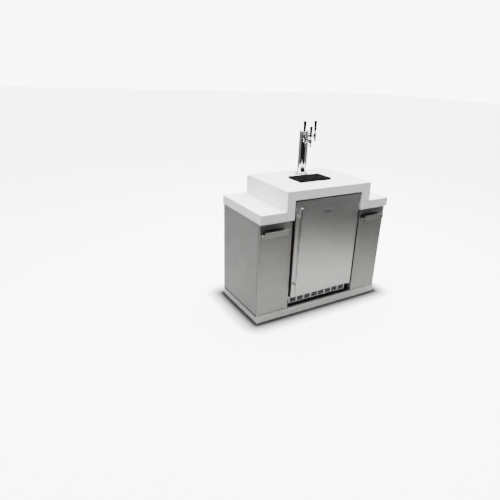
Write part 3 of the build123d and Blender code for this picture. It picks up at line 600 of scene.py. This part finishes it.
gauge_low, gauge_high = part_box("regulator")
gauge_inset = 0.020    # from the regulator's ends and top to a gauge's middle
tick_count, tick_step, first_tick = 13, 20, -30
needle_turn = 140
for side, x in (("left", gauge_low[0] + gauge_inset), ("right", gauge_high[0] - gauge_inset)):
    middle = Vector((x, 0.099, gauge_high[2] - gauge_inset))
    place = frame_at(middle, -Y)
    rim = [(0.0165, 0), (0.0198, 0.0), (0.0206, 0.0008), (0.0204, 0.0022), (0.0182, 0.0026), (0.0176, 0.0006)]
    lathed(f"gauge_rim_{side}", rim, place, "chrome", "module")
    dial = [(0.0002, 0.0004), (0.0176, 0.0004), (0.0176, 0.0009), (0.0002, 0.0009)]
    lathed(f"gauge_dial_{side}", dial, place, "dial_white", "module")
    bm = bmesh.new()
    for tick in range(tick_count):
        turn = radians(first_tick + tick * tick_step)
        made = bmesh.ops.create_cube(bm, size=1)["verts"]
        bmesh.ops.scale(bm, vec=(0.0032, 0.0006, 0.0002), verts=made)
        lean = place @ Matrix.Rotation(turn, 4, "Z") @ Matrix.Translation((0.0148, 0, 0.00095))
        bmesh.ops.transform(bm, matrix=lean, verts=made)
    made = rod_verts(bm, 4, 0.0012, 0.0002, 0.013)
    lean = place @ Matrix.Rotation(radians(needle_turn), 4, "Z") @ Matrix.Translation((0.0055, 0, 0.0014))
    bmesh.ops.transform(bm, matrix=lean @ Matrix.Rotation(pi / 2, 4, "Y"), verts=made)
    marks = to_mesh(bm, f"gauge_marks_{side}")
    finish_piece(f"gauge_marks_{side}", marks, "black_plastic", "module", False)

bottle_low, bottle_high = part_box("co2_cylinder")
bottle_middle = Vector(((bottle_low[0] + bottle_high[0]) / 2, (bottle_low[1] + bottle_high[1]) / 2, 0))
band = [(0.0664, 0), (0.0668, 0.0004), (0.0668, 0.0696), (0.0664, 0.07)]
band_rise = 0.44
band_place = frame_at(bottle_middle + Z * band_rise, Z)
lathed("bottle_band", band, band_place, "dial_white", "module", FINE_ROUND)


# ---------------------------------------------------------------- machine room

can_low, can_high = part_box("compressor")
coil_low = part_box("condenser")[0]
can_r = 0.065
can_x, can_y = can_low[0] + can_r, (can_low[1] + can_high[1]) / 2
seam = [(0.0578, 0), (0.0598, 0.0006), (0.0602, 0.002), (0.0598, 0.0034), (0.0578, 0.004)]
seam_place = frame_at((can_x, can_y, 0.175), Z)
lathed("compressor_seam", seam, seam_place, "black_steel", "module", FINE_ROUND)
suction_route = [
    (can_x, can_y, 0.233), (can_x, can_y, 0.242), (0.090, 0.225, 0.246), (0.03, 0.262, 0.246),
    (0.0, 0.268, 0.24), (-0.005, 0.270, 0.20),
]
pipe("suction_pipe", suction_route, 0.0032, "copper", "module")
discharge_route = [
    (0.060, 0.236, 0.205), (0.045, 0.243, 0.205), (0.03, 0.255, 0.19), (-0.06, 0.266, 0.12),
    (-0.15, 0.27, 0.11), (-0.214, 0.265, 0.11),
]
pipe("discharge_pipe", discharge_route, 0.0028, "copper", "module")
plate_count, plate_pitch, plate_thick = 38, 0.0038, 0.0006
first_plate = coil_low[2] + 0.0135
fin_plates = []
for count in range(plate_count):
    z = first_plate + count * plate_pitch
    fin_plates.append(((-0.2472, 0.1532, z), (-0.2148, 0.2768, z + plate_thick)))
boxes("condenser_fins", fin_plates, "zinc_steel", "module", 0.0001, smooth=False)


# ---------------------------------------------------------------- worktop seams and panel screws

wing_low, wing_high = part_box("worktop_left")
bridge_low, bridge_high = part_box("worktop_bridge")
front, rear = bridge_low[1], bridge_high[1]
hair = 0.0005
sunk = 0.001
seams = []
for edge, outward in ((bridge_low[0], -1), (bridge_high[0], 1)):
    across = sorted((edge + outward * 0.0002, edge - outward * sunk))
    low = (across[0], front + sunk, bridge_low[2] - hair)
    seams.append((low, (across[1], rear - sunk, bridge_low[2] + hair)))
for edge in (bridge_low[0], bridge_high[0]):
    low = (edge - hair, front - 0.0001, wing_low[2] + sunk)
    seams.append((low, (edge + hair, front + sunk, wing_high[2])))
boxes("worktop_seams", seams, "seam_grey", "module", 0.0001, smooth=False)

rear_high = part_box("back_panel_vent")[1]
rear_screws = []
for x in (-0.60, -0.36, -0.325, 0.315, 0.35, 0.60):
    for z in (0.08, 0.31, 0.56, 0.80):
        rear_screws.append(Vector((x, rear_high[1], z)))
screw_heads("back_screws", rear_screws, Y, 0.0042, "zinc_steel", "module")
side_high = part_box("side_panel_right")[1]
side_screws = [Vector((side_high[0], y, z)) for y in (-0.22, 0.02, 0.27) for z in (0.09, 0.80)]
screw_heads("side_screws", side_screws, X, 0.004, "zinc_steel", "module")


# ---------------------------------------------------------------- floor, light and camera

WHITE = 5.5            # how bright the backdrop is to the camera

def white_floor():
    """A white floor with a contact shadow; in reflections lit behind and to the right, dark to the front."""
    shader = Shader("floor_white", (0.01, 0.01, 0.01), 0.8)
    shader.vary_rough(shader.ramp(shader.noise(3.0), 0.3, 0.7, 0.75, 0.9))
    tree = shader.tree
    plinth_low, plinth_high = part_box("plinth")
    middle, half = (plinth_low + plinth_high) / 2, (plinth_high - plinth_low) / 2

    def vector_math(operation, value, other=(0, 0, 0)):
        node = tree.nodes.new("ShaderNodeVectorMath")
        node.operation = operation
        shader.link(value, node.inputs[0])
        node.inputs[1].default_value = other
        return node.outputs["Value" if operation == "LENGTH" else "Vector"]

    offset = vector_math("ABSOLUTE", vector_math("SUBTRACT", shader.coords, (middle.x, middle.y, 0)))
    outside = vector_math("MAXIMUM", vector_math("SUBTRACT", offset, (half.x, half.y, 0)))
    light = shader.ramp(vector_math("LENGTH", outside), 0.02, 0.17, 0, 1)
    shader.vary_color(light, (0.92, 0.92, 0.92))
    steep = tree.nodes.new("ShaderNodeMath")
    steep.operation = "POWER"
    shader.link(light, steep.inputs[0])
    steep.inputs[1].default_value = 2.2
    shader.bsdf.inputs["Emission Color"].default_value = (1, 1, 1, 1)
    shader.link(shader.ramp(steep.outputs[0], 0.0, 1.0, 0.0, WHITE), shader.bsdf.inputs["Emission Strength"])

    place = tree.nodes.new("ShaderNodeSeparateXYZ")
    shader.link(shader.coords, place.inputs[0])
    lit = tree.nodes.new("ShaderNodeMath")
    lit.operation = "MAXIMUM"
    shader.link(shader.ramp(place.outputs["Y"], -0.1, 1.4, 0, 1), lit.inputs[0])
    shader.link(shader.ramp(place.outputs["X"], 1.9, 2.7, 0, 1), lit.inputs[1])
    falling = tree.nodes.new("ShaderNodeBsdfPrincipled")
    falling.inputs["Roughness"].default_value = 1.0
    falling.inputs["Specular IOR Level"].default_value = 0.0
    blend = tree.nodes.new("ShaderNodeMix")
    blend.data_type = "RGBA"
    blend.inputs["A"].default_value = (0.4, 0.4, 0.39, 1)
    blend.inputs["B"].default_value = (0.012, 0.013, 0.013, 1)
    shader.link(shader.ramp(vector_math("LENGTH", shader.coords), 0.6, 2.5, 0, 1), blend.inputs["Factor"])
    shader.link(blend.outputs["Result"], falling.inputs["Base Color"])
    falling.inputs["Emission Color"].default_value = (1, 1, 1, 1)
    shader.link(shader.ramp(lit.outputs[0], 0.0, 1.0, 0.0, 0.3), falling.inputs["Emission Strength"])
    path = tree.nodes.new("ShaderNodeLightPath")
    mix = tree.nodes.new("ShaderNodeMixShader")
    shader.link(path.outputs["Is Camera Ray"], mix.inputs[0])
    shader.link(falling.outputs[0], mix.inputs[1])
    shader.link(shader.bsdf.outputs[0], mix.inputs[2])
    shader.link(mix.outputs[0], tree.nodes["Material Output"].inputs["Surface"])
    mesh = bpy.data.meshes.new("floor")
    reach = 40
    corners = [(-reach, -reach, 0), (reach, -reach, 0), (reach, reach, 0), (-reach, reach, 0)]
    mesh.from_pydata(corners, [], [(0, 1, 2, 3)])
    floor = bpy.data.objects.new("floor", mesh)
    floor.data.materials.append(shader.material)
    bpy.context.scene.collection.objects.link(floor)


def soft_light(name, place, aim, size, power):
    """A square soft box at place, turned to aim."""
    light = bpy.data.lights.new(name, "AREA")
    light.size = size
    light.energy = power
    lamp = bpy.data.objects.new(name, light)
    lamp.location = place
    lamp.rotation_euler = (Vector(aim) - Vector(place)).to_track_quat("-Z", "Y").to_euler()
    bpy.context.scene.collection.objects.link(lamp)


def studio_sky():
    """White to the eye; in reflections dark round the horizon and bright overhead, as in a studio."""
    world = bpy.data.worlds.new("studio")
    bpy.context.scene.world = world
    world.use_nodes = True
    tree = world.node_tree
    tree.nodes.clear()
    coords = tree.nodes.new("ShaderNodeTexCoord")
    split = tree.nodes.new("ShaderNodeSeparateXYZ")
    tree.links.new(coords.outputs["Generated"], split.inputs[0])
    around = tree.nodes.new("ShaderNodeBackground")
    both = tree.nodes.new("ShaderNodeMath")
    both.operation = "ADD"
    overhead, behind = ("Z", (0.1, 0.8, 0.03, 1.2)), ("Y", (0.25, 0.8, 0.0, 1.3))
    for slot, (axis, numbers) in enumerate((overhead, behind)):
        glow = tree.nodes.new("ShaderNodeMapRange")
        glow.interpolation_type = "SMOOTHSTEP"
        for index, number in zip((1, 2, 3, 4), numbers):
            glow.inputs[index].default_value = number
        tree.links.new(split.outputs[axis], glow.inputs[0])
        tree.links.new(glow.outputs[0], both.inputs[slot])
    tree.links.new(both.outputs[0], around.inputs["Strength"])
    plain = tree.nodes.new("ShaderNodeBackground")
    plain.inputs["Strength"].default_value = 2 * WHITE
    path = tree.nodes.new("ShaderNodeLightPath")
    mix = tree.nodes.new("ShaderNodeMixShader")
    tree.links.new(path.outputs["Is Camera Ray"], mix.inputs[0])
    tree.links.new(around.outputs[0], mix.inputs[1])
    tree.links.new(plain.outputs[0], mix.inputs[2])
    out = tree.nodes.new("ShaderNodeOutputWorld")
    tree.links.new(mix.outputs[0], out.inputs["Surface"])


def photo_camera():
    """The main view's camera: heading from +Y towards +X, elevation and roll in degrees."""
    heading, tilt_down, roll = radians(32.371), radians(-22.972), radians(2.493)
    forward = Vector((sin(heading) * cos(tilt_down), cos(heading) * cos(tilt_down), sin(tilt_down)))
    right = Vector((cos(heading), -sin(heading), 0))
    up = right.cross(forward)
    leaned_right = cos(roll) * right + sin(roll) * up
    leaned_up = cos(roll) * up - sin(roll) * right
    matrix = Matrix((leaned_right, leaned_up, -forward)).transposed().to_4x4()
    matrix.translation = Vector((-2.0922, -2.7354, 1.8256))
    data = bpy.data.cameras.new("camera")
    data.sensor_width = 36
    data.lens = 30.5
    data.shift_x = -0.0379
    data.shift_y = 0.0067
    camera = bpy.data.objects.new("camera", data)
    camera.matrix_world = matrix
    bpy.context.scene.collection.objects.link(camera)
    bpy.context.scene.camera = camera


white_floor()
studio_sky()
soft_light("overhead", (0.3, 0.2, 4.6), (0, 0, 0.5), 4.5, 1000)
soft_light("left_fill", (-4.2, 0.4, 2.2), (0, 0, 0.8), 1.6, 90)
soft_light("right_rim", (3.2, 1.6, 2.6), (0, 0, 1.0), 1.6, 30)
photo_camera()
